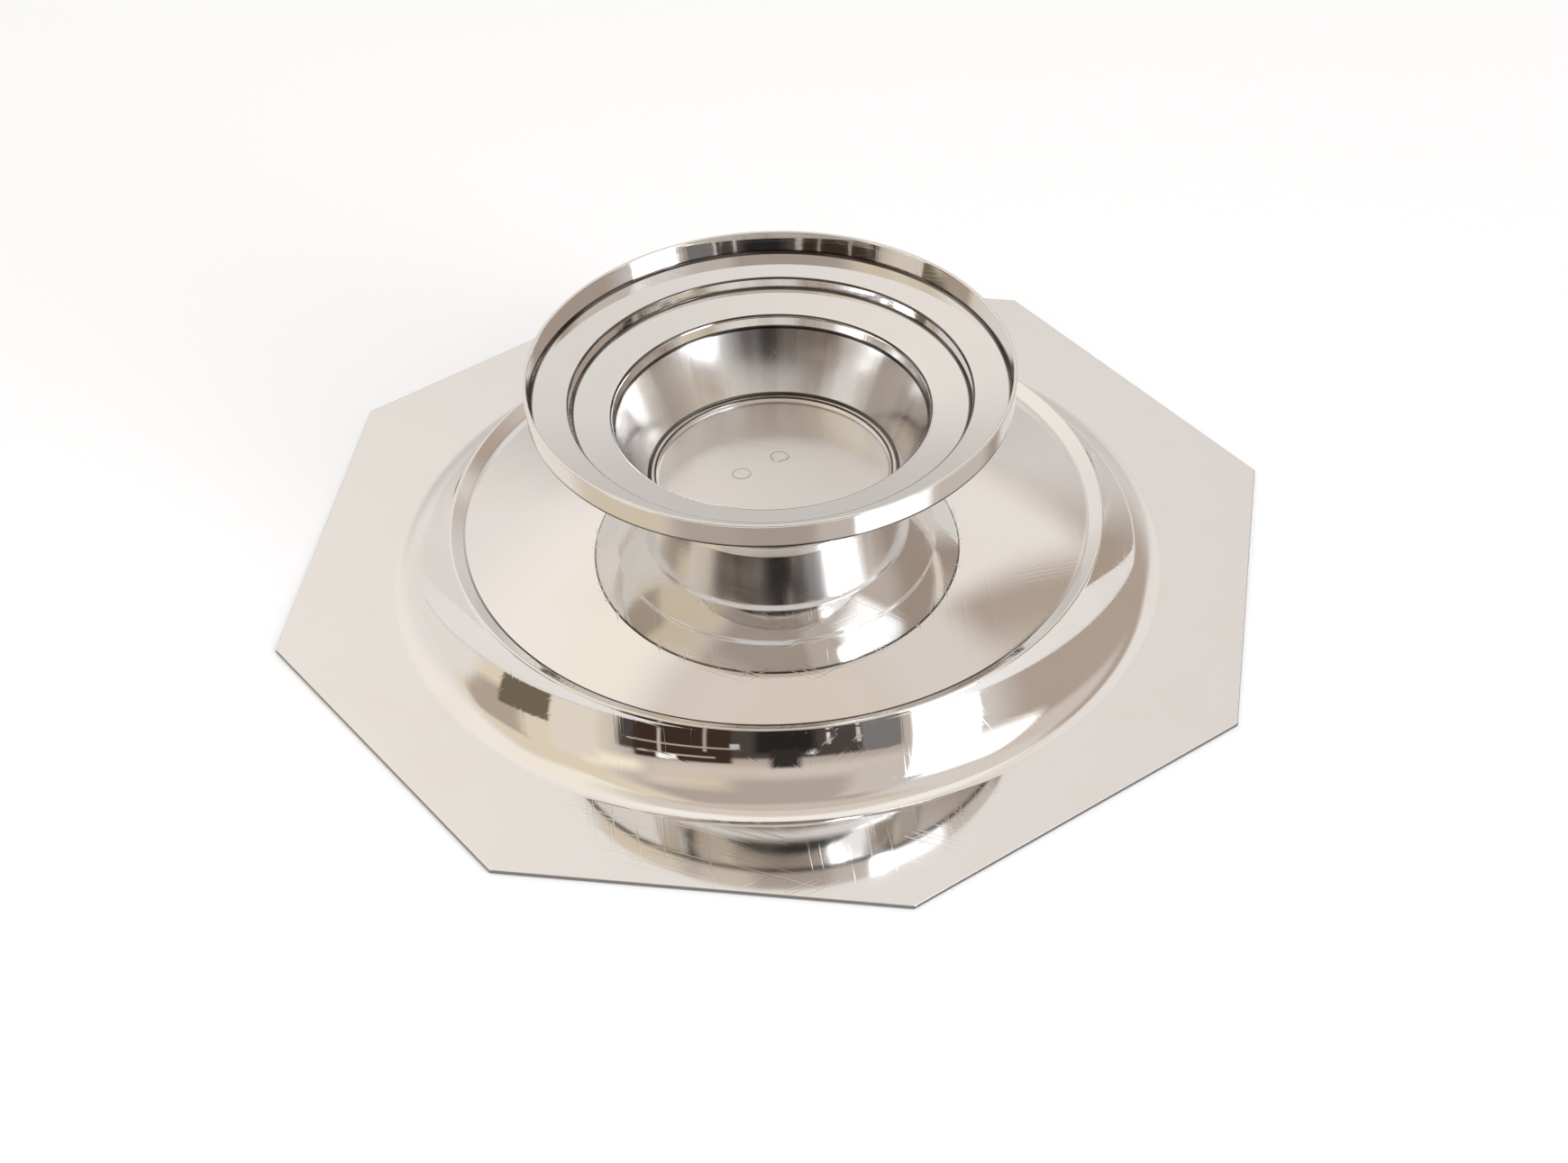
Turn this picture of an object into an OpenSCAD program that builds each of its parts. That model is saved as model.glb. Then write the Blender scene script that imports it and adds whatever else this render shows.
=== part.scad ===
// Footed octagonal dish in polished silver, standing upside down on its rim.
// The eight-sided rim lies on z = 0 and the round foot points up.
// The dish, the spun foot and the solder that joins them are separate pieces.

/* [Rim] */
// Width of the octagonal rim between opposite flat sides
across_flats = 260; // [236:1:300]
// Thickness of the dish's sheet
dish_sheet = 1.2; // [0.8:0.1:1.5]
// Radius at which the flat rim ends and the cove starts
cove_foot_radius = 107; // [105:0.5:112]

/* [Cove and ridge] */
// Radius of the ridge at the top of the cove
ridge_radius = 89.8; // [89:0.2:92]
// Height of the ridge above the plane that the rim lies on
ridge_height = 18.8; // [18:0.1:20]
// Angle of the cove's wall above the horizontal, just under the ridge
wall_angle = 69; // [66:1:74]
// Angle at which the cove's wide upper curve meets its tighter lower curve
curve_change_angle = 45; // [40:1:48]

/* [Well] */
// Radius of the crease between the ridge's inner flank and the dome
crease_radius = 85.7; // [84:0.1:87]
// Height of that crease
crease_height = 16.4; // [15.5:0.1:17.5]
// Height of the middle of the well's domed underside
crown_height = 34; // [31:0.5:36]

/* [Foot] */
// Height of the whole dish as it stands on its rim
overall_height = 66; // [63:0.5:72]
// Outer diameter of the foot's upright edge
foot_diameter = 132; // [128:1:140]
// Height of the foot's upright edge
foot_edge_height = 6.4; // [5:0.2:8]
// How much smaller the upright edge's radius is at its lower end
foot_edge_lean = 0.4; // [0:0.1:0.8]
// Thickness of the foot's sheet
foot_sheet = 1; // [0.7:0.1:1.2]
// Radius at which the foot's outer ledge steps down
outer_step_radius = 54; // [52:0.5:57]
// Depth of the step between the foot's two ledges
outer_step_depth = 3.1; // [2:0.1:4]
// Radius at the top of the foot's cone
cone_top_radius = 42.2; // [40:0.2:45]
// Depth of the rounded step from the inner ledge to the cone
inner_step_depth = 3.4; // [2.5:0.1:4]
// Fall of each ledge towards the middle
ledge_fall = 1.6; // [0.5:0.1:2]
// Radius at the bottom of the foot's cone
cone_foot_radius = 34; // [32:0.5:36]
// Inner radius of the lip that is turned in to be soldered
lip_inner_radius = 32.2; // [30:0.2:33]

/* [Solder] */
// Thickness of the solder under the middle of the lip
solder_film = 0.2; // [0.1:0.05:0.3]
// Width of the solder's fillet on each side of the lip
solder_fillet = 0.9; // [0.6:0.1:1.5]

/* [Hidden] */
$fn = 96;

arc_step = 6;       // degrees between the points of an arc
well_steps = 24;    // straight stretches across half of the dome
rim_lap = 3;        // how far the turned outline runs under the octagonal plate
bend_radius = 0.8;  // tightest bend of the spun sheet, on its inner face
edge_radius = 0.5;  // rounding of the foot's lower outside corner
ridge_bend = 0.6;   // rounding of the ridge

// Half the angle that one side of the octagon spans, and the radius of its corners
half_side_angle = 22.5;
corner_radius = across_flats / 2 / cos(half_side_angle);

// Corner of the ridge, as [radius, height], and the crease inside it
ridge = [ridge_radius, ridge_height];
crease = [crease_radius, crease_height];

// The ridge is rounded between the wall and its inner flank
flank_angle = atan2(ridge_height - crease_height, ridge_radius - crease_radius);
ridge_half_angle = (180 - wall_angle - flank_angle) / 2;
wall_top = ridge + ridge_bend / tan(ridge_half_angle) * [cos(wall_angle), -sin(wall_angle)];
ridge_middle = wall_top - ridge_bend * [sin(wall_angle), cos(wall_angle)];

// Two arcs, one after the other, lead from the wall's top to the flat rim
cove_width = cove_foot_radius - wall_top[0];
cove_rise = wall_top[1] - dish_sheet;
upper_radius = (cove_rise * sin(curve_change_angle) - cove_width * (1 - cos(curve_change_angle)))
    / ((cos(curve_change_angle) - cos(wall_angle)) * sin(curve_change_angle)
        - (sin(wall_angle) - sin(curve_change_angle)) * (1 - cos(curve_change_angle)));
lower_radius = (cove_width - upper_radius * (sin(wall_angle) - sin(curve_change_angle)))
    / sin(curve_change_angle);
lower_middle = [cove_foot_radius, dish_sheet + lower_radius];
upper_middle = lower_middle
    + (upper_radius - lower_radius) * [sin(curve_change_angle), cos(curve_change_angle)];

// The well is a dome that starts at the crease
well_rise = crown_height - crease_height;
dome_radius = (crease_radius * crease_radius + well_rise * well_rise) / (2 * well_rise);

// Height of the dome's underside, or of its show side, at a radius from the axis
function dome_height(r, depth = 0) =
    crown_height - dome_radius + sqrt(pow(dome_radius - depth, 2) - r * r);

// Points on an arc round a middle point, from one angle to another
function arc(middle, radius, from, to) =
    let (count = max(1, ceil(abs(to - from) / arc_step)))
    [for (i = [0 : count])
        let (a = from + (to - from) * i / count)
        middle + radius * [cos(a), sin(a)]];

// A path's points in the opposite order
function reversed(path) = [for (i = [len(path) - 1 : -1 : 0]) path[i]];

// A path moved sideways by a distance, to the left of its direction
function unit(v) = v / norm(v);
function left_of(v) = [-v[1], v[0]];
function side_step(path, i, distance) =
    let (before = unit(path[max(i, 1)] - path[max(i, 1) - 1]),
         after = unit(path[min(i, len(path) - 2) + 1] - path[min(i, len(path) - 2)]),
         middle = unit(left_of(before) + left_of(after)))
    path[i] + middle * distance / (middle * left_of(after));
function parallel(path, distance) =
    [for (i = [0 : len(path) - 1]) side_step(path, i, distance)];

// Underside of the cove, from the flat rim up to the wall's top
function cove_underside() = concat(
    [[cove_foot_radius + rim_lap, dish_sheet]],
    arc(lower_middle, lower_radius, -90, -90 - curve_change_angle),
    arc(upper_middle, upper_radius, -90 - curve_change_angle - 1, -90 - wall_angle)
);

// Underside of the dish from the flat rim in to the axis
function dish_underside() = concat(
    cove_underside(),
    arc(ridge_middle, ridge_bend, 90 - wall_angle, 90 + flank_angle),
    [for (i = [0 : well_steps])
        let (r = crease_radius * (1 - i / well_steps)) [r, dome_height(r)]]
);

// Show side of the dish, from the axis out to the flat rim, one sheet's thickness away
function dish_show_side() =
    let (cove = cove_underside(),
         inside = crease_radius - 1,
         bend = parallel(concat([for (i = [0 : len(cove) - 2]) cove[i]],
                                [ridge, crease, [inside, dome_height(inside)]]),
                         dish_sheet),
         crease_point = bend[len(bend) - 2])
    concat(
        [for (i = [0 : well_steps])
            let (r = crease_point[0] * i / well_steps) [r, dome_height(r, dish_sheet)]],
        [for (i = [len(bend) - 3 : -1 : 0]) bend[i]]
    );

// Flat octagonal plate that the dish's rim is cut from
module rim_plate() {
    linear_extrude(height = dish_sheet)
        difference() {
            rotate(half_side_angle) circle(r = corner_radius, $fn = 8);
            circle(r = cove_foot_radius);
        }
}

module octagonal_dish() {
    color("silver")
        union() {
            rim_plate();
            rotate_extrude() polygon(concat(dish_underside(), dish_show_side()));
        }
}

// Heights of the foot's inner face, worked down from its upright edge
outer_ledge_height = overall_height - foot_edge_height;
outer_step_height = outer_ledge_height - ledge_fall;
inner_ledge_height = outer_step_height - outer_step_depth;
inner_step_height = inner_ledge_height - ledge_fall;
cone_top_height = inner_step_height - inner_step_depth;

// Height of the lip's inner face, which follows the dome under it
function lip_height(r) = dome_height(r) + solder_film + foot_sheet;

// The ledges, the cone and the lip on the foot's inner face
edge_inner = foot_diameter / 2 - foot_sheet;
edge_corner = [edge_inner - foot_edge_lean, outer_ledge_height];
function foot_ledges() = [
    [outer_step_radius + bend_radius, outer_step_height],
    [outer_step_radius, outer_step_height - bend_radius],
    [outer_step_radius - bend_radius / 2, inner_ledge_height + bend_radius / 2],
    [outer_step_radius - 2 * bend_radius, inner_ledge_height],
    [cone_top_radius + 2 * bend_radius, inner_step_height],
    [cone_top_radius + bend_radius / 2, inner_step_height - bend_radius],
    [cone_top_radius, cone_top_height],
    [cone_foot_radius, lip_height(cone_foot_radius) + bend_radius],
    [cone_foot_radius - bend_radius, lip_height(cone_foot_radius - bend_radius)],
    [lip_inner_radius, lip_height(lip_inner_radius)]
];

// Inner face of the foot from its upright edge in to the lip
function foot_inner_face() = concat(
    [[edge_inner, overall_height]],
    arc(edge_corner + bend_radius * [-1, 1], bend_radius, 0, -80),
    foot_ledges()
);

// Outer face of the foot, one sheet's thickness away, with a crisper lower corner
function foot_outer_face() =
    let (face = parallel(concat([[edge_inner, overall_height], edge_corner], foot_ledges()),
                         foot_sheet))
    concat(
        [[foot_diameter / 2, overall_height]],
        arc(face[1] + edge_radius * [-1, 1], edge_radius, 0, -80),
        [for (i = [2 : len(face) - 1]) face[i]]
    );

module foot() {
    color("silver")
        rotate_extrude()
            polygon(concat(foot_inner_face(), reversed(foot_outer_face())));
}

// Solder fills what is left between the dish and the foot round the lip
module solder_seam() {
    inner_radius = lip_inner_radius - solder_fillet;
    outer_radius = cone_foot_radius + foot_sheet + solder_fillet;
    color("gainsboro")
        difference() {
            rotate_extrude()
                polygon([
                    [inner_radius, dome_height(inner_radius, dish_sheet / 2)],
                    [outer_radius, dome_height(outer_radius, dish_sheet / 2)],
                    [outer_radius, dome_height(outer_radius)],
                    [cone_foot_radius, lip_height(cone_foot_radius) + solder_fillet / 2],
                    [cone_foot_radius - foot_sheet, lip_height(cone_foot_radius) - foot_sheet / 2],
                    [lip_inner_radius, lip_height(lip_inner_radius) - foot_sheet / 2],
                    [inner_radius, dome_height(inner_radius)]
                ]);
            octagonal_dish();
            foot();
        }
}

octagonal_dish();
foot();
solder_seam();
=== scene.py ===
# %% [markdown]
# # A footed octagonal dish in polished silver
#
# The dish lies upside down on its eight-sided rim, with its round foot in the air. It is made
# of two pieces of sheet metal and the ring of solder that holds them together. The packed
# model gives the exact sizes, and this lesson makes the smooth, polished pieces that stand
# for it. Outlines are written in millimetres, because that is how a template is cut, and
# every mesh is in metres, in the model's own frame: the rim lies on z = 0.

# %% The frame that everything is built round
import math
from types import SimpleNamespace

import bmesh
import bpy
from mathutils import Matrix, Vector


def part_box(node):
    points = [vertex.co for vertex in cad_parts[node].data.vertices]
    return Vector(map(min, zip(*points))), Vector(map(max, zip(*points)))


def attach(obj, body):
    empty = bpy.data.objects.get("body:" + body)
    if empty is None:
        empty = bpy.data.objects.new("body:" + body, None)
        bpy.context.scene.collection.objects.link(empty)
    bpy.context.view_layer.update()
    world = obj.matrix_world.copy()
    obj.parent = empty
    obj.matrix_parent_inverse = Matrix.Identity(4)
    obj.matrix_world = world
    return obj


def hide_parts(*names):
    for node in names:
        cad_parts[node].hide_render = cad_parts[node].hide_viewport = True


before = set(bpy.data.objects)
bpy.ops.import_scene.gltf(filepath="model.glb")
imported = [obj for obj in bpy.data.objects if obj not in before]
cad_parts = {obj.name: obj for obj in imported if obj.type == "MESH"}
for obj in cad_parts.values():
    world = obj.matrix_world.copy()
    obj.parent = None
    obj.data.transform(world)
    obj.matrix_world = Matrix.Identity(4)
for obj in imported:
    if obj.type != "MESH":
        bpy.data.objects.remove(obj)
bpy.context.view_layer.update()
MM = 0.001
print("frame nodes:", sorted(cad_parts))

# %% [markdown]
# ## Sizes taken from the frame
#
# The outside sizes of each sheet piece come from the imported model's boxes. The turned
# outline between them needs a few more radii and heights, the same ones that the model's
# own outline is drawn from.

# %% Sizes
dish_low, dish_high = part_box("octagonal_dish")
foot_low, foot_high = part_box("foot")
half_width = dish_high[0] / MM - 0.001
crown_height = dish_high[2] / MM
overall_height = foot_high[2] / MM
foot_radius = round((foot_high[0] - foot_low[0]) / 2 / MM)

dish_sheet = 1.2
cove_foot_radius = 107.0
ridge_radius = 89.8
ridge_height = 18.8
wall_angle = 69.0
curve_change_angle = 45.0
crease_radius = 85.7
crease_height = 16.4
bend_radius = 0.6

foot_sheet = 1.0
foot_edge_height = 6.4
foot_edge_lean = 0.4
outer_step_radius = 54.0
outer_step_depth = 3.1
cone_top_radius = 42.2
inner_step_depth = 3.4
ledge_fall = 1.6
cone_foot_radius = 34.0
lip_inner_radius = 32.2
solder_film = 0.2
solder_fillet = 0.9
print("across flats", round(2 * half_width, 2), "mm, height", round(overall_height, 2), "mm")
print("foot radius", foot_radius, "mm, crown", round(crown_height, 2), "mm")

# %% [markdown]
# ## The camera
#
# The dish is seen from above one of its flat sides, a little to the right of square on and
# about forty degrees down, with a long lens, so the octagon tapers only slightly. The camera
# leans by a degree or two, as one held in the hand does.

# %% The camera
camera_azimuth = -9.97
camera_elevation = 40.1
camera_distance = 0.8773
camera_roll = 2.33
camera_aim = Vector((0.0093, -0.0439, 0.0300))
lens_mm = 76.57

turn = math.radians(camera_azimuth)
drop = math.radians(camera_elevation)
look = Vector((math.sin(turn) * math.cos(drop), math.cos(turn) * math.cos(drop), -math.sin(drop)))
level = look.to_track_quat("-Z", "Y")
lean = Matrix.Rotation(math.radians(camera_roll), 4, look)
camera_data = bpy.data.cameras.new("camera")
camera_data.lens = lens_mm
camera_data.sensor_width = 36.0
camera = bpy.data.objects.new("camera", camera_data)
bpy.context.scene.collection.objects.link(camera)
place = lean @ level.to_matrix().to_4x4()
place.translation = camera_aim - look * camera_distance
camera.matrix_world = place
bpy.context.scene.camera = camera
print("camera at", [round(v, 3) for v in camera.location])

# %% [markdown]
# ## Drawing an outline
#
# A spinner works from a template: the section through the sheet on one side of the axis. A
# point on it is a radius and a height. Two small helpers draw everything here: an arc round
# a middle point, and a corner that is rounded off by a given radius.

# %% Outline helpers
def arc(middle, radius, start, end, steps):
    """Points on an arc, with angles in degrees."""
    points = []
    for i in range(steps + 1):
        a = math.radians(start + (end - start) * i / steps)
        points.append((middle[0] + radius * math.cos(a), middle[1] + radius * math.sin(a)))
    return points


def rounded(corners, steps=8):
    """Points along straight stretches whose corners (radius, height, rounding) are rounded."""
    points = []
    for i, (r, z, rounding) in enumerate(corners):
        here = Vector((r, z))
        if rounding == 0:
            points.append((r, z))
            continue
        before = Vector(corners[i - 1][:2]) - here
        after = Vector(corners[(i + 1) % len(corners)][:2]) - here
        half = before.angle(after) / 2
        middle = here + (before.normalized() + after.normalized()).normalized() * (
            rounding / math.sin(half)
        )
        first = here + before.normalized() * rounding / math.tan(half)
        last = here + after.normalized() * rounding / math.tan(half)
        a = math.atan2(first.y - middle.y, first.x - middle.x)
        b = math.atan2(last.y - middle.y, last.x - middle.x)
        sweep = (b - a + math.pi) % (2 * math.pi) - math.pi
        points += arc(middle, rounding, math.degrees(a), math.degrees(a + sweep), steps)
    return points


def supported(points, beside=0.15, long=0.9, short=0.5):
    """Adds a point near each end of a long stretch that adjoins a short one.

    The two points then carry the flat face's own direction, so a flat mirror stays flat."""
    done = []
    count = len(points)
    for i in range(count):
        here, after = Vector(points[i]), Vector(points[(i + 1) % count])
        reach = (after - here).length
        before = (here - Vector(points[i - 1])).length
        beyond = (Vector(points[(i + 2) % count]) - after).length
        done.append(tuple(here))
        if reach > long and before < short:
            done.append(tuple(here + (after - here) * beside / reach))
        if reach > long and beyond < short:
            done.append(tuple(after + (here - after) * beside / reach))
    return done


print("a rounded square has", len(rounded([(0, 0, 1), (9, 0, 1), (9, 9, 1), (0, 9, 1)])), "points")

# %% [markdown]
# ## The lathe
#
# Both sheet pieces follow one rule: the outline is turned round the axis. That makes them a
# good job for Geometry Nodes. The tree takes the outline as a chain of points, lays a grid
# with one column for each step round the axis, and puts each grid point at its outline
# point's radius and height. An outline point can also be "cornered": from 0, on a true
# circle, to 1, on a polygon with that many sides. The dish's rim grows from one into the
# other. Columns crowd towards the polygon's corners, so a corner stays crisp.

# %% A lathe made of nodes
def node_maker(tree):
    """Returns a function that adds a node, sets its properties and joins or sets its inputs."""

    def add(kind, properties=None, **inputs):
        node = tree.nodes.new(kind)
        for name, value in (properties or {}).items():
            setattr(node, name, value)
        for name, value in inputs.items():
            key = int(name[1:]) if name[0] == "i" and name[1:].isdigit() else name
            socket = node.inputs[key]
            if isinstance(value, bpy.types.NodeSocket):
                tree.links.new(value, socket)
            else:
                socket.default_value = value
        return node

    return add


def recipes(tree):
    """The node recipes that every tree here uses, as short functions."""
    add = node_maker(tree)

    def number(operation, a, b=0.0, c=0.0):
        return add("ShaderNodeMath", {"operation": operation}, i0=a, i1=b, i2=c).outputs[0]

    def step(value, low, high):
        """0 below low and 1 above high, with a smooth slope between."""
        return add("ShaderNodeMapRange", {"interpolation_type": "SMOOTHSTEP"}, i0=value, i1=low,
                   i2=high).outputs[0]

    def noise(vector, scale, detail):
        return add("ShaderNodeTexNoise", Vector=vector, Scale=scale, Detail=detail).outputs["Fac"]

    def blend(amount, colour, other, kind="MIX"):
        return add("ShaderNodeMix", {"data_type": "RGBA", "blend_type": kind}, i0=amount,
                   i6=colour, i7=other).outputs[2]

    return SimpleNamespace(add=add, number=number, step=step, noise=noise, blend=blend)


def lathe_tree():
    tree = bpy.data.node_groups.new("lathe", "GeometryNodeTree")
    face = tree.interface
    face.new_socket("Outline", in_out="INPUT", socket_type="NodeSocketGeometry")
    for name, kind, value in (
        ("Columns", "NodeSocketInt", 352),
        ("Sides", "NodeSocketInt", 8),
        ("Crowding", "NodeSocketFloat", 1.5),
        ("Weld", "NodeSocketFloat", 1e-6),
    ):
        face.new_socket(name, in_out="INPUT", socket_type=kind).default_value = value
    face.new_socket("Finish", in_out="INPUT", socket_type="NodeSocketMaterial")
    face.new_socket("Turned", in_out="OUTPUT", socket_type="NodeSocketGeometry")
    on = recipes(tree)
    add, number = on.add, on.number

    given = add("NodeGroupInput").outputs
    outline, columns, sides = given["Outline"], given["Columns"], given["Sides"]
    size = add("GeometryNodeAttributeDomainSize", i0=outline).outputs["Point Count"]
    grid = add(
        "GeometryNodeMeshGrid",
        i0=1.0,
        i1=1.0,
        i2=number("ADD", columns, 1.0),
        i3=size,
    ).outputs["Mesh"]

    index = add("GeometryNodeInputIndex").outputs[0]
    column = number("FLOOR", number("DIVIDE", number("ADD", index, 0.5), size))
    row = number("SUBTRACT", index, number("MULTIPLY", column, size))
    place = add("GeometryNodeInputPosition").outputs[0]
    point = add("GeometryNodeSampleIndex", {"data_type": "FLOAT_VECTOR"}, Geometry=outline,
                Value=place, Index=row).outputs[0]
    named = add("GeometryNodeInputNamedAttribute", {"data_type": "FLOAT"}, Name="cornered")
    cornered = add("GeometryNodeSampleIndex", {"data_type": "FLOAT"}, Geometry=outline,
                   Value=named.outputs["Attribute"], Index=row).outputs[0]

    # One side of the polygon spans this angle; its middle is at 0 and its corners at the ends
    span = number("DIVIDE", math.tau, sides)
    half = number("DIVIDE", span, 2.0)
    even = number("DIVIDE", number("MULTIPLY", column, math.tau), columns)
    folded = number("WRAP", even, half, number("MULTIPLY", half, -1.0))
    side_middle = number("SUBTRACT", even, folded)
    part = number("DIVIDE", folded, half)
    left = number("SUBTRACT", 1.0, number("ABSOLUTE", part))
    crowded = number("SUBTRACT", 1.0, number("POWER", number("MAXIMUM", left, 0.0),
                                             given["Crowding"]))
    folded = number("MULTIPLY", number("MULTIPLY", crowded, number("SIGN", part)), half)
    angle = number("ADD", side_middle, folded)
    reach = number("SUBTRACT", number("DIVIDE", 1.0, number("COSINE", folded)), 1.0)

    outline_point = add("ShaderNodeSeparateXYZ", i0=point).outputs
    radius = number("MULTIPLY", outline_point[0], number("MULTIPLY_ADD", cornered, reach, 1.0))
    turned = add(
        "ShaderNodeCombineXYZ",
        i0=number("MULTIPLY", radius, number("COSINE", angle)),
        i1=number("MULTIPLY", radius, number("SINE", angle)),
        i2=outline_point[2],
    ).outputs[0]
    moved = add("GeometryNodeSetPosition", Geometry=grid, Position=turned).outputs[0]
    welded = add("GeometryNodeMergeByDistance", Geometry=moved, Distance=given["Weld"]).outputs[0]
    smooth = add("GeometryNodeSetShadeSmooth", Geometry=welded).outputs[0]
    real = add("GeometryNodeRealizeInstances", Geometry=smooth).outputs[0]
    finished = add("GeometryNodeSetMaterial", Geometry=real, Material=given["Finish"]).outputs[0]
    add("NodeGroupOutput", i0=finished)
    return tree


lathe = lathe_tree()
print("the lathe tree has", len(lathe.nodes), "nodes")


def turn_piece(name, outline, finish, cornered=None, crowding=1.0):
    """Turns a closed outline in millimetres into a welded mesh object."""
    chain = bpy.data.meshes.new(name + "_outline")
    points = [Vector((r * MM, 0, z * MM)) for r, z in outline]
    chain.from_pydata(points + points[:1], [], [])
    weight = chain.attributes.new("cornered", "FLOAT", "POINT")
    cornered = cornered or [0.0] * len(outline)
    weight.data.foreach_set("value", cornered + cornered[:1])
    template = bpy.data.objects.new(name + "_template", chain)
    bpy.context.scene.collection.objects.link(template)

    worker = template.modifiers.new("lathe", "NODES")
    worker.node_group = lathe
    sockets = {item.name: item.identifier for item in lathe.interface.items_tree}
    worker[sockets["Crowding"]] = crowding
    worker[sockets["Finish"]] = finish
    ready = template.evaluated_get(bpy.context.evaluated_depsgraph_get())
    mesh = bpy.data.meshes.new_from_object(ready)
    mesh.name = name
    bpy.data.objects.remove(template)

    shape = bmesh.new()
    shape.from_mesh(mesh)
    loose = [edge for edge in shape.edges if not edge.link_faces]
    bmesh.ops.delete(shape, geom=loose, context="EDGES")
    bmesh.ops.recalc_face_normals(shape, faces=shape.faces)
    if shape.calc_volume(signed=True) < 0:
        bmesh.ops.reverse_faces(shape, faces=shape.faces)
    volume = shape.calc_volume() * 1e6
    open_edges = sum(1 for e in shape.edges if not e.is_manifold)
    shape.to_mesh(mesh)
    shape.free()
    piece = bpy.data.objects.new(name, mesh)
    bpy.context.scene.collection.objects.link(piece)
    print(name, len(mesh.vertices), "points,", round(volume, 2), "cm3, open edges", open_edges)
    return piece

# %% [markdown]
# ## Polished silver
#
# Silver takes a mirror polish, so almost all of its look is what it reflects. What tells the
# eye that it is metal, not a render, is small: the reflection bends a little because the
# sheet was never perfectly even, wiping leaves hairlines, and tarnish gathers as a trace of
# warm colour.

# %% Silver
CLOUDS = 34.0                      # clouds of tarnish to a metre
WARM_TRACE = (0.985, 0.965, 0.925)  # what a cloud of tarnish leaves of each colour
PAINTED_SHADE_LINES = (0.06, 0.05, 0.045, 1)   # painted shade: the dark room mirrored in narrow bends and shade on the cut edge; also the stamp lines
DULLED = (0.87, 0.86, 0.85, 1)     # the patch that no wheel reaches
PAINTED_STREAKS = (0.86, 0.85, 0.845, 1)   # painted darker streaks, standing in for the streaky reflections on the turned cone
WIPING = ((14, 0.40, 0.52), (-38, 0.48, 0.60), (74, 0.62, 0.5))  # angle, and the clouds it is in


def where_on(on):
    """A point's place on its piece, its distance from the axis and its height."""
    place = on.add("ShaderNodeTexCoord").outputs["Object"]
    flat = on.add("ShaderNodeVectorMath", {"operation": "MULTIPLY"}, i0=place,
                  i1=(1, 1, 0)).outputs[0]
    radius = on.add("ShaderNodeVectorMath", {"operation": "LENGTH"}, i0=flat).outputs["Value"]
    up = on.add("ShaderNodeSeparateXYZ", i0=place).outputs[2]
    return SimpleNamespace(place=place, flat=flat, radius=radius, up=up)


def painted_corner_lines(on, at, smudge, grooves):
    """Painted dark lines in the corners, standing in for shade and the dark room mirrored in the
    bends, one for each groove (radius, height, width, in millimetres).
    """
    profile = on.add("ShaderNodeCombineXYZ", i0=at.radius, i1=at.up).outputs[0]
    dark = 0.0
    for r, z, width in grooves:
        off = on.add("ShaderNodeVectorMath", {"operation": "DISTANCE"}, i0=profile,
                     i1=(r * MM, z * MM, 0)).outputs["Value"]
        line = on.number("SUBTRACT", 1.0, on.step(off, 0.45 * width * MM, width * MM))
        dark = on.number("MAXIMUM", dark, line)
    return on.number("MULTIPLY", dark, on.number("MULTIPLY_ADD", smudge, 0.7, 0.6))


def more_toward_front(on, at, dark):
    """Keeps most of the painted dark lines on the -Y side, the viewer's side, where the bends mirror
    the dark room.
    """
    across = on.add("ShaderNodeSeparateXYZ", i0=at.place).outputs[1]
    share = on.number("MULTIPLY_ADD", on.step(across, -0.01, -0.07), 0.95, 0.2)
    return on.number("MULTIPLY", dark, share)


def edge_and_stamps(on, at, dark):
    """Darkens the sheet's upright cut edge with painted shade where the rim meets the floor, and
    darkens the lines of the stamps.
    """
    facing = on.add("ShaderNodeSeparateXYZ", i0=on.add("ShaderNodeTexCoord").outputs["Normal"])
    tilt = on.number("ABSOLUTE", facing.outputs[2])
    upright = on.number("SUBTRACT", 1.0, on.step(tilt, 0.3, 0.8))
    low = on.number("SUBTRACT", 1.0, on.step(at.up, 0.0009, 0.0013))
    # Painted shade on the upright cut edge, where the rim meets the floor
    cut = on.number("MULTIPLY", on.number("MULTIPLY", upright, low), 0.75)
    stamped = on.add("ShaderNodeAttribute", {"attribute_name": "stamp"}).outputs["Fac"]
    dark = on.number("MAXIMUM", dark, cut)
    return on.number("MAXIMUM", dark, on.number("MULTIPLY", stamped, 0.4))


def hairlines(on, at, smudge):
    """Fine straight scratches from wiping, in a few directions, each in its own clouds."""
    lines = 0.0
    for angle, low, high in WIPING:
        turned = on.add("ShaderNodeVectorRotate", {"rotation_type": "Z_AXIS"}, Vector=at.place,
                        Angle=math.radians(angle)).outputs[0]
        drawn = on.add("ShaderNodeVectorMath", {"operation": "MULTIPLY"}, i0=turned,
                       i1=(24, 1500, 24)).outputs[0]
        hair = on.step(on.noise(drawn, 1.0, 0.0), 0.66, 0.76)
        lines = on.number("MULTIPLY_ADD", hair, on.step(smudge, low, high), lines)
    return lines


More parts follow.
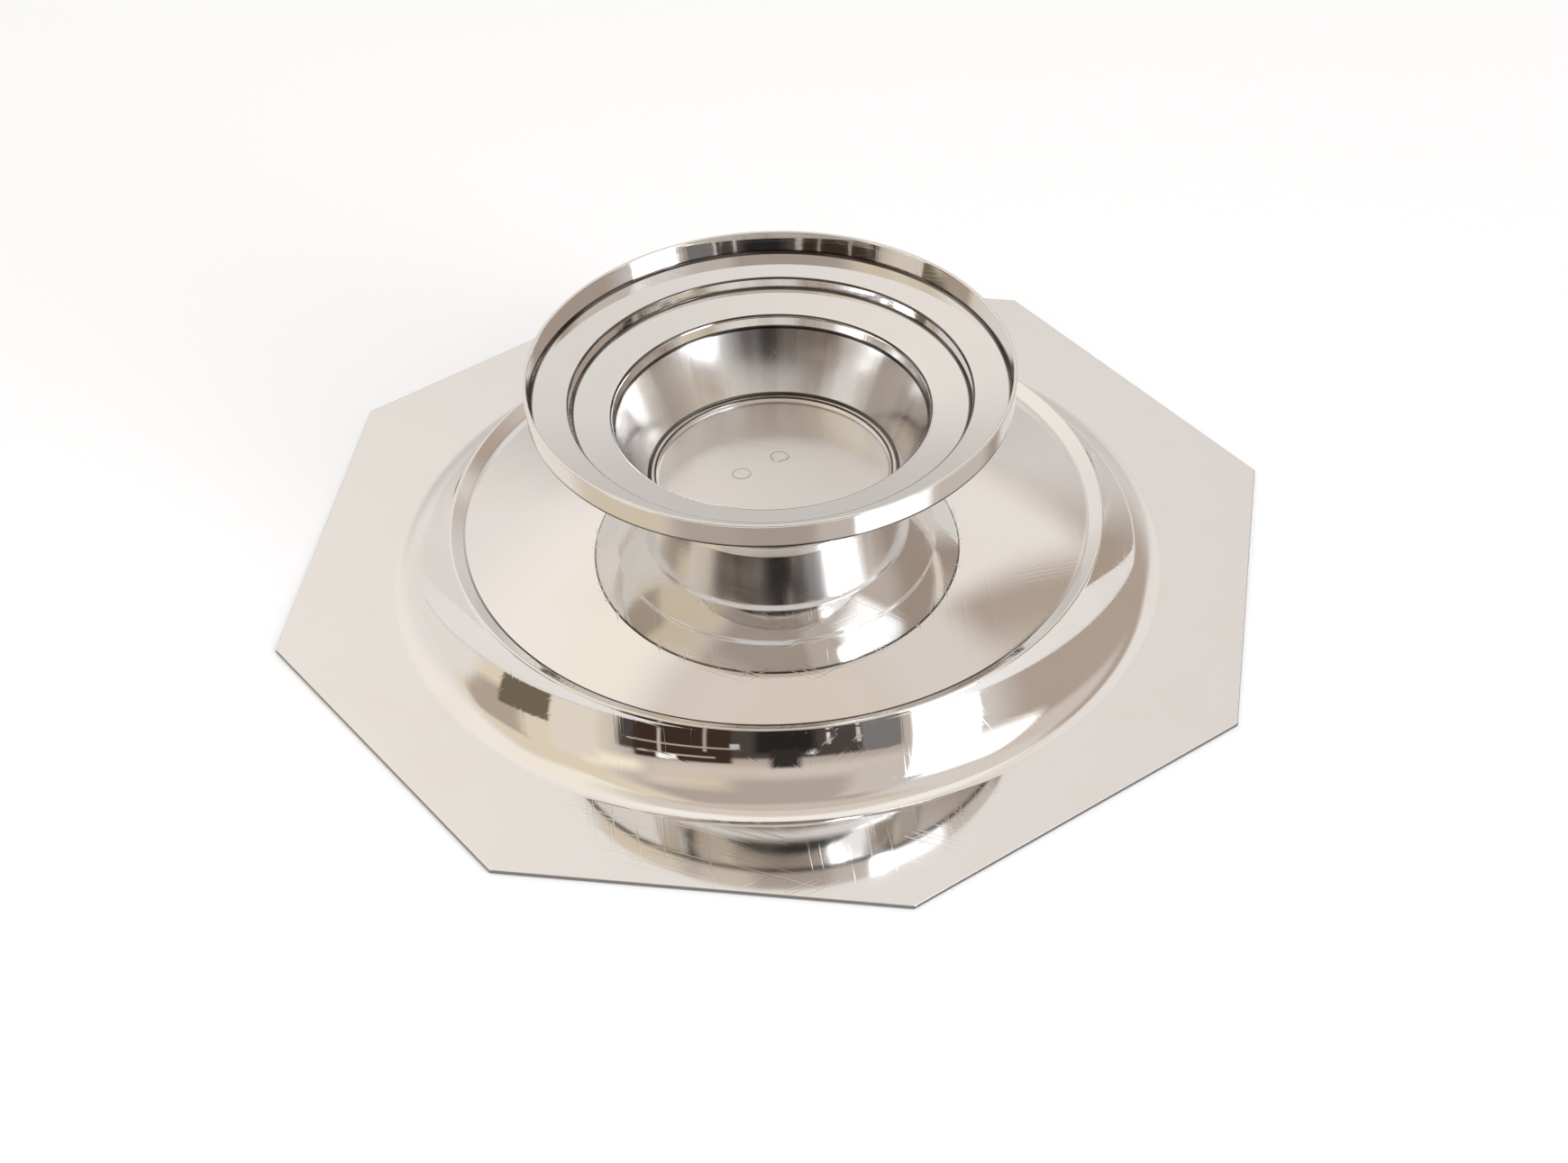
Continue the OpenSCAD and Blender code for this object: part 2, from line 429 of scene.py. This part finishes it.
def silver(name, tint, worn, haze_from, haze, grooves=(), brushed=None, dull=None,
           one_sided=False, cut_edge=False):
    """Polished silver with roughness worn, and haze beyond haze_from metres from the axis.

    brushed is the height in metres below which turning marks still show. dull is the radius
    and the top height, in metres, of a round patch that the polishing wheel couldn't reach.
    one_sided keeps more of the painted dark lines toward -Y. cut_edge also darkens the sheet's cut
    edge with painted shade."""
    finish = bpy.data.materials.new(name)
    finish.use_nodes = True
    tree = finish.node_tree
    shader = tree.nodes["Principled BSDF"]
    shader.inputs["Metallic"].default_value = 1.0
    on = recipes(tree)
    at = where_on(on)

    smudge = on.noise(at.place, CLOUDS, 3.0)
    warm = tuple(part * left for part, left in zip(tint, WARM_TRACE))
    colour = on.blend(on.step(smudge, 0.5, 0.8), (*tint, 1), (*warm, 1))
    # Painted shade: dark lines along the corners, where the narrow bends mirror the dark room
    dark = painted_corner_lines(on, at, smudge, grooves)
    if one_sided:
        dark = more_toward_front(on, at, dark)
    if cut_edge:
        dark = edge_and_stamps(on, at, dark)
    # The painted shade lines, the painted shade on the cut edge and the stamp lines take this dark
    # colour
    colour = on.blend(dark, colour, PAINTED_SHADE_LINES)
    lines = hairlines(on, at, smudge)

    # Haze: more of it where hands and cloths touch the metal most
    touched = on.step(at.radius, haze_from - 0.002, haze_from + 0.004)
    rough = on.number("MULTIPLY_ADD", touched, haze - worn, worn)
    rough = on.number("MULTIPLY", rough, on.number("MULTIPLY_ADD", smudge, 0.9, 0.55))
    rough = on.number("MULTIPLY_ADD", lines, 0.03, rough)

    # The sheet is never perfectly even, so reflections bend a little
    relief = on.number("MULTIPLY", on.noise(at.place, 30.0, 0.0), 0.6e-4)
    relief = on.number("MULTIPLY_ADD", lines, -0.3e-5, relief)

    if dull:
        reach, top = dull
        # The dome falls as the square of the radius, so this is level all over the dome
        levelled = on.number("MULTIPLY_ADD", on.number("MULTIPLY", at.radius, at.radius), 2.3, at.up)
        patch = on.number("MULTIPLY", on.step(levelled, top - 0.0008, top - 0.0004),
                          on.number("SUBTRACT", 1.0, on.step(at.radius, reach - 0.0004, reach)))
        rough = on.number("MULTIPLY_ADD", patch, 0.2, rough)
        colour = on.blend(patch, colour, DULLED, "MULTIPLY")
    if brushed:
        inside = on.number("SUBTRACT", 1.0, on.step(at.up, brushed - 0.0005, brushed + 0.0005))
        round_axis = on.add("ShaderNodeVectorMath", {"operation": "NORMALIZE"},
                            i0=at.flat).outputs[0]
        streak = on.noise(round_axis, 3.4, 3.0)
        cone_rough = on.number("MULTIPLY_ADD", streak, 0.30, 0.03)
        rough = on.number("MULTIPLY_ADD", inside, on.number("SUBTRACT", cone_rough, rough), rough)
        relief = on.number("MULTIPLY_ADD", inside, on.number("MULTIPLY", streak, 0.5e-4), relief)
        # Painted reflection: darker streaks standing in for the cone's streaky reflections
        shade = on.number("MULTIPLY", inside, on.step(streak, 0.62, 0.38))
        colour = on.blend(shade, colour, PAINTED_STREAKS, "MULTIPLY")
        shader.inputs["Anisotropic"].default_value = 0.6

    tree.links.new(colour, shader.inputs["Base Color"])
    tree.links.new(rough, shader.inputs["Roughness"])
    bump = on.add("ShaderNodeBump", Height=relief, Strength=1.0, Distance=1.0)
    tree.links.new(bump.outputs[0], shader.inputs["Normal"])
    print(name, "is", len(tree.nodes), "nodes")
    return finish


# %% [markdown]
# ## The dish
#
# One sheet is pressed into a flat rim, a round cove, a narrow ridge and a gently domed well.
# The cove is two arcs, a wide one above and a tight one where it lands on the rim. From the
# ridge a short flank falls to a crease, and the dome starts there. The show side is the same
# path one sheet's thickness away. The rim's outermost points are fully cornered, so the
# turned cove grows into eight straight sides. A painted dark line, standing in for the dark
# room mirrored in the bend, runs along the crease, mostly on the -Y side. The cut edge is
# darkened with painted shade, and no wheel reaches the patch inside the foot.

# %% The dish's outline
cut_round = 0.35
flank_angle = math.degrees(math.atan2(ridge_height - crease_height, ridge_radius - crease_radius))
ridge_half = math.radians(180 - wall_angle - flank_angle) / 2
wall = math.radians(wall_angle)
wall_top = (
    ridge_radius + bend_radius / math.tan(ridge_half) * math.cos(wall),
    ridge_height - bend_radius / math.tan(ridge_half) * math.sin(wall),
)


# Two arcs, one after the other, lead from the wall's top to the flat rim. Their radii follow
# from how far out and how far down the cove has to run.
change = math.radians(curve_change_angle)
cove_width = cove_foot_radius - wall_top[0]
cove_rise = wall_top[1] - dish_sheet
upper_radius = (cove_rise * math.sin(change) - cove_width * (1 - math.cos(change))) / (
    (math.cos(change) - math.cos(wall)) * math.sin(change)
    - (math.sin(wall) - math.sin(change)) * (1 - math.cos(change))
)
lower_radius = (cove_width - upper_radius * (math.sin(wall) - math.sin(change))) / math.sin(change)
lower_middle = (cove_foot_radius, dish_sheet + lower_radius)
upper_middle = (
    lower_middle[0] + (upper_radius - lower_radius) * math.sin(change),
    lower_middle[1] + (upper_radius - lower_radius) * math.cos(change),
)
well_rise = crown_height - crease_height
dome_radius = (crease_radius**2 + well_rise**2) / (2 * well_rise)
print("cove radii", round(upper_radius, 2), round(lower_radius, 2), "dome", round(dome_radius, 1))


def cove(offset, low_steps, high_steps, trim=0.0):
    """The cove's two arcs, from the flat rim up, on one face of the sheet or the other."""
    low = arc(lower_middle, lower_radius + offset, -90, -90 - curve_change_angle, low_steps)
    high = arc(upper_middle, upper_radius + offset, -90 - curve_change_angle,
               -90 - wall_angle + trim, high_steps)
    return low + high[1:]


def dome_height(r, depth=0.0):
    return crown_height - dome_radius + math.sqrt((dome_radius - depth) ** 2 - r * r)


def unrounded(points):
    return [(r, z, 0) for r, z in points]


def dish_outline():
    """The closed section of the dish, and how far each of its points is cornered."""
    flat = [cove_foot_radius + (half_width - cut_round - cove_foot_radius) * i / 6
            for i in range(5, 0, -1)]
    stamp_zone = [13.0 - 0.2 * i for i in range(46)]
    dome = [crease_radius - 1.0 - 1.4 * i for i in range(52)] + stamp_zone + [2.5, 1.2, 0.0]
    underside = unrounded([(r, dish_sheet) for r in flat])
    underside += unrounded(cove(0, 22, 26))
    underside += [(ridge_radius, ridge_height, bend_radius), (crease_radius, crease_height, 0.45)]
    underside += unrounded([(r, dome_height(r)) for r in dome])

    show = [(r, dome_height(r, dish_sheet)) for r in
            ((crease_radius - 1.0) * i / 30 for i in range(31))]
    flank = Vector((ridge_radius - crease_radius, ridge_height - crease_height)).normalized()
    low_flank = Vector((crease_radius, crease_height)) + Vector((flank.y, -flank.x)) * dish_sheet
    dome_edge = Vector((crease_radius - 1.0, dome_height(crease_radius - 1.0, dish_sheet)))
    slope = Vector((crease_radius, crease_height)) - Vector((crease_radius - 1.0,
                                                             dome_height(crease_radius - 1.0)))
    show_crease = crossing(dome_edge, slope, low_flank, flank)
    high_wall = Vector(cove(dish_sheet, 10, 12)[-1])
    show_ridge = crossing(low_flank, flank, high_wall, Vector((-math.cos(wall), math.sin(wall))))
    show_side = unrounded(show)
    show_side += [(*show_crease, 1.2), (*show_ridge, 0.3)]
    show_side += unrounded(cove(dish_sheet, 10, 12, 2.0)[::-1])
    show_side += unrounded([(r, 0.0) for r in reversed(flat)])
    edge = half_width
    show_side += [(edge, 0.0, cut_round), (edge, dish_sheet, cut_round)]

    outline = supported(rounded(underside + show_side, 7))
    growth = half_width - cut_round - cove_foot_radius
    cornered = [min(max((r - cove_foot_radius) / growth, 0.0), 1.0) for r, z in outline]
    return outline, cornered


def crossing(a, along_a, b, along_b):
    """Where two straight lines meet."""
    gap = b - a
    cross = along_a.x * along_b.y - along_a.y * along_b.x
    return a + along_a * (gap.x * along_b.y - gap.y * along_b.x) / cross


# The crease gets a painted dark line, standing in for the dark room mirrored in it
dish_silver = silver("dish_silver", tint=(0.90, 0.895, 0.892), worn=0.03, haze_from=0.106,
                     haze=0.055, grooves=((crease_radius + 0.2, crease_height, 0.55),), one_sided=True,
                     dull=(0.0325, crown_height * MM), cut_edge=True)
outline, cornered = dish_outline()
dish = turn_piece("dish", outline, dish_silver, cornered, crowding=1.5)

# %% [markdown]
# ## Two small stamps
#
# Silver is struck with small oval marks. Here they are left blank: each is a shallow sunk
# field inside a thin pressed line, on the patch of the dome that the foot surrounds. They are
# pressed into the points that are already there, so the sheet stays one closed surface.

# %% The stamps
STAMPS = ((-8.1, -4.4), (1.0, 4.1))  # middles, in millimetres
STAMP_HALF = (2.45, 2.2)
STAMP_LINE = 0.1                     # depth of the pressed outline
STAMP_FIELD = 0.05                   # depth of the field inside it


def press_stamps(piece):
    """Sinks small blank ovals, each with a thin outline, into the domed underside."""
    pressed = 0
    mark = piece.data.attributes.new("stamp", "FLOAT", "POINT")
    for vertex in piece.data.vertices:
        x, y, z = vertex.co / MM
        if z < dome_height(min(math.hypot(x, y), 20.0)) - 0.3:
            continue
        for middle_x, middle_y in STAMPS:
            out = math.hypot((x - middle_x) / STAMP_HALF[0], (y - middle_y) / STAMP_HALF[1])
            if out < 1.25:
                line = max(0.0, 1 - abs(out - 1) / 0.14)
                line = line * line * (3 - 2 * line)
                sunk = STAMP_LINE * line + STAMP_FIELD * min(1, max(0, (1 - out) * 8))
                mark.data[vertex.index].value = line
                vertex.co.z -= sunk * MM
                pressed += sunk > 0
    print("stamps pressed with", pressed, "points")


press_stamps(dish)

# %% [markdown]
# ## The foot
#
# The foot is spun from one sheet over a wooden former. It has an upright edge that leans out
# a little, two ledges that fall towards the middle with a small step after each, a cone, and
# a narrow lip turned in to be soldered. Each corner has its own rounding. Painted dark lines,
# standing in for shade and the dark room mirrored in the bends, run along those corners and
# under the upright edge. The cone keeps its turning marks, with darker streaks painted in for
# their streaky reflections.

# %% The foot
outer_ledge_height = overall_height - foot_edge_height
outer_step_height = outer_ledge_height - ledge_fall
inner_ledge_height = outer_step_height - outer_step_depth
inner_step_height = inner_ledge_height - ledge_fall
cone_top_height = inner_step_height - inner_step_depth


def lip_height(r):
    return dome_height(r) + solder_film + foot_sheet


def side_step(path, distance):
    """A chain of (radius, height, rounding) moved sideways."""
    moved = []
    for i, (r, z, rounding) in enumerate(path):
        before = Vector(path[max(i, 1)][:2]) - Vector(path[max(i, 1) - 1][:2])
        after = Vector(path[min(i, len(path) - 2) + 1][:2]) - Vector(path[min(i, len(path) - 2)][:2])
        left = [Vector((-v.y, v.x)).normalized() for v in (before, after)]
        middle = (left[0] + left[1]).normalized()
        spot = Vector((r, z)) + middle * distance / middle.dot(left[1])
        moved.append((spot.x, spot.y, rounding))
    return moved


edge_inner = foot_radius - foot_sheet
inner_face = [
    (edge_inner, overall_height, 0.3),
    (edge_inner - foot_edge_lean, outer_ledge_height, 0.6),
    (outer_step_radius + 0.3, outer_step_height, 0.7),
    (outer_step_radius - 0.3, inner_ledge_height, 0.6),
    (cone_top_radius + 0.8, inner_step_height, 1.3),
    (cone_top_radius, cone_top_height, 0.9),
    (cone_foot_radius, lip_height(cone_foot_radius), 0.5),
    (lip_inner_radius, lip_height(lip_inner_radius), 0.3),
]
outer_face = side_step(inner_face, foot_sheet)
outer_rounding = (0.3, 0.5, 0.3, 0.6, 0.35, 1.5, 0.6, 0.3)
outer_face = [(r, z, k) for (r, z, _), k in zip(outer_face, outer_rounding)]
outer_face[0] = (foot_radius, overall_height, outer_rounding[0])
# Widths of the painted dark lines in the corners; the last one is painted shade under the upright edge
line_widths = (1.1, 0.6, 0.9, 0.6, 0.7, 0.9, 0.6)
corners = [(r, z, wide) for (r, z, _), wide in zip(inner_face[1:], line_widths)]
# Painted shade under the upright edge's outer corner
corners.append((*outer_face[1][:2], 1.0))
foot_silver = silver("foot_silver", tint=(0.865, 0.86, 0.857), worn=0.05, haze_from=0.0645,
                     haze=0.05, grooves=corners, brushed=cone_top_height * MM)
foot = turn_piece("foot_ring", supported(rounded(inner_face + outer_face[::-1], 7)), foot_silver)

# %% [markdown]
# ## The solder
#
# Solder is drawn under the lip by heat and leaves a small fillet on each side. It was scraped
# flush, so it is greyer and less bright than the sheet.

# %% The solder
def solder_outline():
    inner_radius = lip_inner_radius - solder_fillet
    outer_radius = cone_foot_radius + foot_sheet + solder_fillet
    inner_top = lip_height(lip_inner_radius) - 0.45
    outer_top = lip_height(cone_foot_radius) + 0.35
    return [
        (inner_radius, dome_height(inner_radius) - 0.1),
        (outer_radius, dome_height(outer_radius) - 0.1),
        (outer_radius, dome_height(outer_radius) + 0.02),
        (outer_radius - 0.45, dome_height(outer_radius) + 0.22),
        (cone_foot_radius + 1.05, outer_top - 0.2),
        (cone_foot_radius + 0.6, outer_top),
        (cone_foot_radius - 0.2, outer_top - 0.5),
        (lip_inner_radius + 0.3, inner_top),
        (lip_inner_radius - 0.2, inner_top - 0.15),
        (inner_radius + 0.35, dome_height(inner_radius) + 0.12),
        (inner_radius, dome_height(inner_radius) + 0.02),
    ]


solder_grey = silver("solder", tint=(0.74, 0.73, 0.72), worn=0.16, haze_from=0.2, haze=0.16)
solder = turn_piece("solder_ring", solder_outline(), solder_grey)

# %% [markdown]
# ## Standing for the model's pieces
#
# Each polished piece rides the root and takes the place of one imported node.

# %% Riding
for piece, node, slot in (
    (dish, "octagonal_dish", "dish_silver"),
    (foot, "foot", "foot_silver"),
    (solder, "solder_seam", "solder"),
):
    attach(piece, "root")
    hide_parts(node)

# %% [markdown]
# ## The floor
#
# The dish lies on plain pale paper, wide enough that no edge of it shows in the silver. Seen
# straight on it is nearly white. Where the silver mirrors it, it is given a duller tone, which
# isn't how light behaves but keeps the mirrored paper from glaring. It lies a hair below the
# rim, so the two flat faces never fight.

# %% Floor
floor_mesh = bpy.data.meshes.new("floor")
reach = 6.0
floor_gap = 0.2 * MM
floor_mesh.from_pydata(
    [(x * reach, y * reach, -floor_gap) for x, y in ((-1, -1), (1, -1), (1, 1), (-1, 1))], [],
    [(0, 1, 2, 3)])
floor = bpy.data.objects.new("floor", floor_mesh)
bpy.context.scene.collection.objects.link(floor)
paper = bpy.data.materials.new("floor")
paper.use_nodes = True
paper_shader = paper.node_tree.nodes["Principled BSDF"]
paper_shader.inputs["Roughness"].default_value = 0.7
on_paper = recipes(paper.node_tree)
mirrored = on_paper.add("ShaderNodeLightPath").outputs["Is Glossy Ray"]
tone = on_paper.blend(mirrored, (0.84, 0.868, 0.905, 1), (0.69, 0.685, 0.69, 1))
paper.node_tree.links.new(tone, paper_shader.inputs["Base Color"])
floor_mesh.materials.append(paper)

# %% [markdown]
# ## The room
#
# A mirror shows the room it stands in, so the room is most of what is seen. It is drawn on the
# sky as soft-edged panels, each with a direction, a size and a brightness. Azimuth 0 is behind
# the viewer, 90 is to the right and 180 is beyond the dish. The walls are pale on the left and
# warm grey on the right, the viewer's side is dark, and a tall window glares at the front right.

# %% The room
behind = math.degrees(math.atan2(-look.y, -look.x))
world = bpy.data.worlds.new("room")
bpy.context.scene.world = world
world.use_nodes = True
world.node_tree.nodes.clear()
sky = recipes(world.node_tree)


way = sky.add("ShaderNodeSeparateXYZ",
              i0=sky.add("ShaderNodeTexCoord").outputs["Generated"]).outputs
bearing = sky.number("MULTIPLY", sky.number("ARCTAN2", way[1], way[0]), 180 / math.pi)
azimuth = sky.number("SUBTRACT", bearing, behind)
height = sky.number("MULTIPLY", sky.number("ARCSINE", way[2]), 180 / math.pi)


def within(value, half, soft):
    """1 inside plus or minus half, falling smoothly to 0 over the soft edge."""
    away = sky.number("ABSOLUTE", value)
    return sky.number("SUBTRACT", 1.0, sky.step(away, half - soft / 2, half + soft / 2))


# name, azimuth, elevation, half width, half height, soft edge (degrees), colour, brightness
panels = (
    ("pale left wall", -145, 30, 48, 80, 30, (0.84, 0.79, 0.745), 1.0),
    ("far wall, low", 180, 14, 24, 18, 14, (0.64, 0.60, 0.57), 1.0),
    ("bright upper left wall", -140, 48, 30, 14, 22, (0.95, 0.88, 0.81), 1.0),
    ("cream wall", -80, 30, 28, 70, 22, (0.78, 0.665, 0.515), 1.0),
    ("dim wall", -94, 21, 10, 12, 6, (0.47, 0.385, 0.31), 1.0),
    ("viewer's side", -5, 45, 46, 60, 20, (0.47, 0.395, 0.34), 1.0),
    ("pale band over the furniture", -2, 30, 40, 5, 8, (0.66, 0.575, 0.50), 1.0),
    ("bright doorway", -54, 31, 10, 4, 8, (0.97, 0.87, 0.67), 1.0),
    ("bright patch", -32, 38, 14, 5, 12, (0.72, 0.61, 0.50), 1.0),
    ("right of the viewer", 32, 47, 12, 16, 8, (0.63, 0.555, 0.50), 1.0),
    ("right wall", 107, 20, 38, 52, 20, (0.46, 0.375, 0.31), 1.0),
    ("upper right wall", 98, 50, 26, 16, 14, (0.66, 0.58, 0.52), 1.0),
    ("far upper right wall", 152, 48, 14, 19, 10, (0.86, 0.80, 0.75), 1.0),
    ("ceiling", 0, 90, 400, 18, 8, (0.62, 0.535, 0.455), 1.0),
    ("far half of the ceiling", 180, 84, 90, 14, 20, (0.73, 0.64, 0.56), 1.0),
    ("right cornice", 110, 65, 50, 8, 8, (0.73, 0.67, 0.61), 1.0),
    ("far cornice", 175, 66, 35, 7, 8, (0.98, 0.92, 0.85), 1.0),
    ("bright cornice", -118, 61, 40, 6, 9, (0.95, 0.87, 0.74), 1.0),
    ("left skirting", -124, 4, 22, 10, 8, (0.82, 0.77, 0.71), 1.0),
    ("furniture", -8, 3, 43, 17, 3, (0.075, 0.06, 0.054), 1.0),
    ("bookcase", -31, 10, 15, 14, 2, (0.048, 0.028, 0.02), 1.0),
    ("shelf", -31, 13, 17, 0.5, 0.8, (0.50, 0.42, 0.34), 1.0),
    ("upper shelf", -33, 20, 12, 0.5, 0.8, (0.55, 0.48, 0.40), 1.0),
    ("post", -38, 12, 0.5, 10, 0.8, (0.55, 0.48, 0.40), 1.0),
    ("second post", -24, 8, 0.5, 8, 0.8, (0.45, 0.38, 0.32), 1.0),
    ("lamp on the shelf", -36, 22, 3, 1.6, 1.5, (1.0, 0.97, 0.9), 1.2),
    ("grey furniture", 29, 8, 6, 12, 2, (0.20, 0.19, 0.185), 1.0),
    ("small picture", -15, 11, 1.4, 1.8, 0.8, (0.55, 0.53, 0.50), 1.0),
    ("cup", 8, 16, 1.2, 2.0, 0.8, (0.75, 0.73, 0.70), 1.0),
    ("viewer", 0, 2, 9, 14, 4, (0.022, 0.019, 0.019), 1.0),
    ("viewer's head", 0, 20, 4.5, 7, 3, (0.035, 0.03, 0.028), 1.0),
    ("chair leg", 13, 7, 0.5, 4.5, 0.8, (0.85, 0.8, 0.75), 1.0),
    ("second chair leg", 22, 7, 0.5, 5.5, 0.8, (0.85, 0.8, 0.75), 1.0),
    ("white door", -66, 12, 8, 20, 4, (0.80, 0.71, 0.60), 1.0),
    ("olive chair", -83, 5, 9, 12, 1.5, (0.17, 0.14, 0.09), 1.0),
    ("window", 50, 13, 9.5, 32, 5, (0.96, 0.985, 1.02), 7.0),
    ("window's glow", 65, 41, 17, 13, 8, (1.0, 0.99, 0.985), 1.5),
)
room = (0.70, 0.655, 0.62, 1.0)
for name, side, up, half_wide, half_high, soft, colour, bright in panels:
    across = sky.number("WRAP", sky.number("SUBTRACT", azimuth, side), 180.0, -180.0)
    mask = sky.number("MULTIPLY", within(across, half_wide, soft),
                      within(sky.number("SUBTRACT", height, up), half_high, soft))
    room = sky.blend(mask, room, (*(part * bright for part in colour), 1.0))
sky.add("ShaderNodeOutputWorld", Surface=sky.add("ShaderNodeBackground", Color=room).outputs[0])


def softbox(name, azimuth, elevation, distance, width, height, power):
    """A large lamp that lights the floor but isn't seen in the silver."""
    a = math.radians(azimuth + behind)
    e = math.radians(elevation)
    toward = Vector((math.cos(a) * math.cos(e), math.sin(a) * math.cos(e), math.sin(e)))
    data = bpy.data.lights.new(name, "AREA")
    data.shape = "RECTANGLE"
    data.size = width
    data.size_y = height
    data.energy = power
    data.color = (0.95, 0.975, 1.0)
    lamp = bpy.data.objects.new(name, data)
    bpy.context.scene.collection.objects.link(lamp)
    lamp.location = toward * distance
    lamp.rotation_euler = (-toward).to_track_quat("-Z", "Y").to_euler()
    lamp.visible_glossy = False
    return lamp


softbox("overhead", azimuth=10, elevation=62, distance=2.2, width=1.9, height=1.9, power=31)
bpy.context.scene.view_settings.view_transform = "Standard"
print("the room has", len(panels), "panels")
